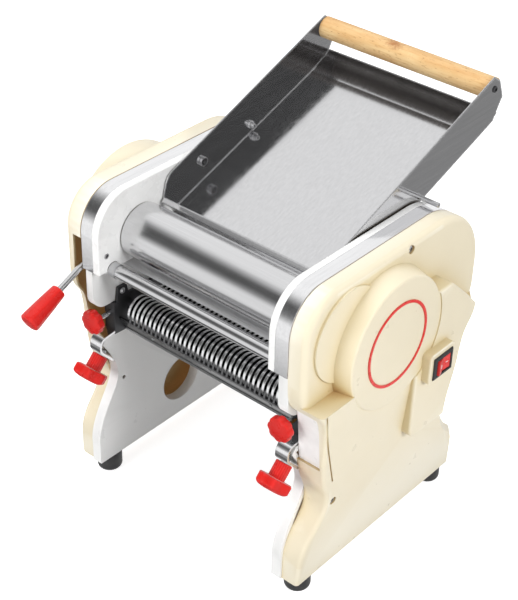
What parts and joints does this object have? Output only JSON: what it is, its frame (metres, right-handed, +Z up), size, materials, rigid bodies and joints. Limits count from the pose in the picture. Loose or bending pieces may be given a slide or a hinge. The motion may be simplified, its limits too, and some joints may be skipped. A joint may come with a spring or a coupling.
{
  "type": "electric pasta maker",
  "caption": "Bench pasta machine with chromed sheeting rollers, lever-set thickness, removable noodle cutter, steel feed tray with wooden bar, and a motor drive in a cast side housing.",
  "frame": {"origin": "on the floor, under the middle of the machine's bounding box", "axes": "+X to the operator's right along the rollers, +Y from the cutter side at the front to the feed tray at the back, +Z up"},
  "size_m": [0.3742, 0.433, 0.4501],
  "materials": {
    "casting": "white enamel, satin",
    "cover": "cream enamel, satin",
    "plate": "white enamel, gloss",
    "stainless": "bright stainless",
    "chrome": "chromed",
    "steel": "turned steel",
    "black_steel": "black oxide",
    "bronze": "sintered bronze",
    "rubber": "black rubber",
    "black_plastic": "moulded, satin",
    "red_plastic": "red gloss",
    "white_plastic": "white",
    "wood": "plain turned beech",
    "motor_metal": "dark grey"
  },
  "bodies": {
    "housing": {"cover_screws": "steel", "drive_trim_ring": "red_plastic", "feet": "rubber", "front_hatch": "white_plastic", "front_scraper": "stainless", "left_cover": "cover", "left_side_casting": "casting", "left_side_plate": "plate", "left_trim_strip": "stainless", "motor": "motor_metal", "rear_roller_bushes": "bronze", "rear_scraper": "stainless", "rear_tie_rods": "chrome", "reduction_stud": "steel", "right_cover": "cover", "right_side_casting": "casting", "right_side_plate": "plate", "right_trim_strip": "stainless", "switch_bezel": "black_plastic", "tray_pivot_bolts": "steel"},
    "thickness lever": {"left_eccentric": "steel", "right_eccentric": "steel", "lever_rod": "chrome", "lever_grip": "red_plastic"},
    "synchronising shaft": {"synchronising_shaft": "chrome", "shaft_collar": "steel"},
    "front roller bearings": {"front_roller_shells": "bronze"},
    "front roller": {"front_roller": "chrome", "front_roller_gear": "steel"},
    "rear roller": {"rear_roller": "chrome", "rear_roller_gear": "steel", "drive_gear": "steel"},
    "reduction gear": {"reduction_gear": "steel"},
    "motor rotor": {"motor_shaft": "steel"},
    "cutter drive": {"cutter_drive_shaft": "steel"},
    "cutter unit": {"cutter_front_comb": "black_steel", "cutter_rear_comb": "black_steel", "right_cutter_side": "black_steel", "left_cutter_side": "black_steel", "cutter_front_strip": "stainless", "comb_screws": "steel", "lug_bolts": "steel", "right_cutter_strap": "stainless", "left_cutter_strap": "stainless"},
    "cutter front roll": {"cutter_front_roll": "steel"},
    "cutter rear roll": {"cutter_rear_roll": "steel"},
    "right upper knob": {"right_upper_knob": "red_plastic", "right_knob_stud": "chrome"},
    "left upper knob": {"left_upper_knob": "red_plastic", "left_knob_stud": "chrome"},
    "right clamp knob": {"right_clamp_knob": "red_plastic"},
    "left clamp knob": {"left_clamp_knob": "red_plastic"},
    "rocker": {"rocker": "red_plastic"},
    "tray": {"tray_pan": "stainless", "tray_front_bar": "stainless", "tray_dowel": "wood", "dowel_screws": "steel", "tray_rest_pins": "stainless"}
  },
  "joints": [
    {"name": "thickness_lever_turn", "type": "hinge", "parent": "housing", "child": "thickness lever", "pos_m": [-0.00307, -0.08491, 0.30543], "axis": [1, 0, 0], "range_deg": [-28, 20]},
    {"name": "synchronising_shaft_turn", "type": "hinge", "parent": "housing", "child": "synchronising shaft", "pos_m": [-0.00307, -0.12377, 0.2781], "axis": [1, 0, 0], "range_deg": [-90, 124]},
    {"name": "front_roller_shift", "type": "slide", "parent": "housing", "child": "front roller bearings", "axis": [0, 0.8698, -0.4935], "range_m": [-0.00083, 0.00117]},
    {"name": "front_roller_spin", "type": "hinge", "parent": "front roller bearings", "child": "front roller", "pos_m": [-0.00307, -0.08367, 0.3076], "axis": [1, 0, 0], "continuous": true},
    {"name": "rear_roller_spin", "type": "hinge", "parent": "housing", "child": "rear roller", "pos_m": [-0.00307, -0.03097, 0.2777], "axis": [1, 0, 0], "continuous": true},
    {"name": "reduction_gear_spin", "type": "hinge", "parent": "housing", "child": "reduction gear", "pos_m": [0.13183, 0.01782, 0.22891], "axis": [1, 0, 0], "continuous": true},
    {"name": "motor_spin", "type": "hinge", "parent": "housing", "child": "motor rotor", "pos_m": [0.13183, 0.04594, 0.1954], "axis": [1, 0, 0], "continuous": true},
    {"name": "cutter_drive_spin", "type": "hinge", "parent": "housing", "child": "cutter drive", "pos_m": [0.13183, -0.03179, 0.22727], "axis": [1, 0, 0], "continuous": true},
    {"name": "cutter_slide", "type": "slide", "parent": "housing", "child": "cutter unit", "axis": [0, -1, 0], "range_m": [0, 0.15]},
    {"name": "cutter_front_roll_spin", "type": "hinge", "parent": "cutter unit", "child": "cutter front roll", "pos_m": [-0.00307, -0.09147, 0.2132], "axis": [1, 0, 0], "continuous": true},
    {"name": "cutter_rear_roll_spin", "type": "hinge", "parent": "cutter unit", "child": "cutter rear roll", "pos_m": [-0.00307, -0.05997, 0.2132], "axis": [1, 0, 0], "continuous": true},
    {"name": "right_upper_knob_turn", "type": "hinge", "parent": "cutter unit", "child": "right upper knob", "pos_m": [0.12313, -0.14087, 0.2138], "axis": [0, 1, 0], "continuous": true},
    {"name": "left_upper_knob_turn", "type": "hinge", "parent": "cutter unit", "child": "left upper knob", "pos_m": [-0.12927, -0.14087, 0.2138], "axis": [0, 1, 0], "continuous": true},
    {"name": "right_clamp_knob_turn", "type": "hinge", "parent": "cutter unit", "child": "right clamp knob", "pos_m": [0.12313, -0.14817, 0.1507], "axis": [0, 0.7071, 0.7071], "continuous": true},
    {"name": "left_clamp_knob_turn", "type": "hinge", "parent": "cutter unit", "child": "left clamp knob", "pos_m": [-0.12927, -0.14817, 0.1507], "axis": [0, 0.7071, 0.7071], "continuous": true},
    {"name": "rocker_tilt", "type": "hinge", "parent": "housing", "child": "rocker", "pos_m": [0.18243, 0.03503, 0.22375], "axis": [0, 0, 1], "range_deg": [-16, 0]},
    {"name": "tray_tip", "type": "hinge", "parent": "housing", "child": "tray", "pos_m": [-0.00307, 0.00433, 0.3507], "axis": [1, 0, 0], "range_deg": [0, 3.5]}
  ],
  "couplings": [
    {"joint": "synchronising_shaft_turn", "follows": "front_roller_shift", "rad_per_m": 1776.4},
    {"joint": "thickness_lever_turn", "follows": "front_roller_shift", "rad_per_m": -417.97},
    {"joint": "front_roller_spin", "follows": "rear_roller_spin", "ratio": -1},
    {"joint": "reduction_gear_spin", "follows": "rear_roller_spin", "ratio": -4.75},
    {"joint": "motor_spin", "follows": "rear_roller_spin", "ratio": 15.042},
    {"joint": "cutter_drive_spin", "follows": "rear_roller_spin", "ratio": -1.4286},
    {"joint": "cutter_rear_roll_spin", "follows": "rear_roller_spin", "ratio": 1.4286},
    {"joint": "cutter_front_roll_spin", "follows": "rear_roller_spin", "ratio": -1.4286}
  ]
}
